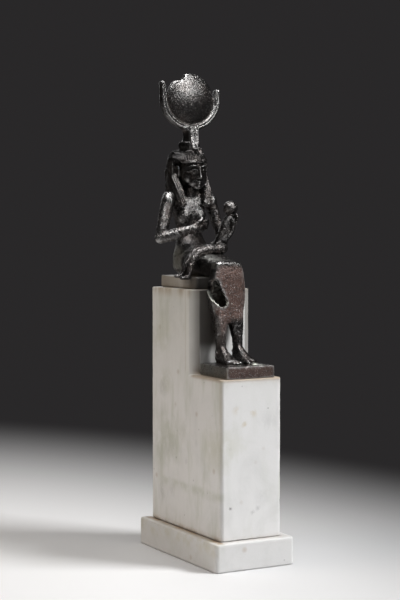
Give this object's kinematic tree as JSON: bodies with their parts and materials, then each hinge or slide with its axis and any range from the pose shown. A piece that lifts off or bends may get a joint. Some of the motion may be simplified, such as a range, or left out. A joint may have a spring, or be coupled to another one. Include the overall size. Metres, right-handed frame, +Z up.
{
  "type": "isis and horus figure",
  "caption": "Dark bronze figure of seated Isis nursing the child Horus, a sun disc between cow horns on her head, on a stepped white marble plinth.",
  "frame": {"origin": "centre of the plinth's underside, on the surface it stands on", "axes": "+Z up, the figure faces -Y, and +X is the side of her left arm"},
  "size_m": [0.0636, 0.1168, 0.3515],
  "materials": {
    "bronze": "satin",
    "white_marble": "satin",
    "grey_marble": "satin"
  },
  "bodies": {
    "root": {"base_slab": "white_marble", "stepped_block": "white_marble", "seat_slab": "grey_marble", "isis_and_horus": "bronze"}
  },
  "joints": []
}
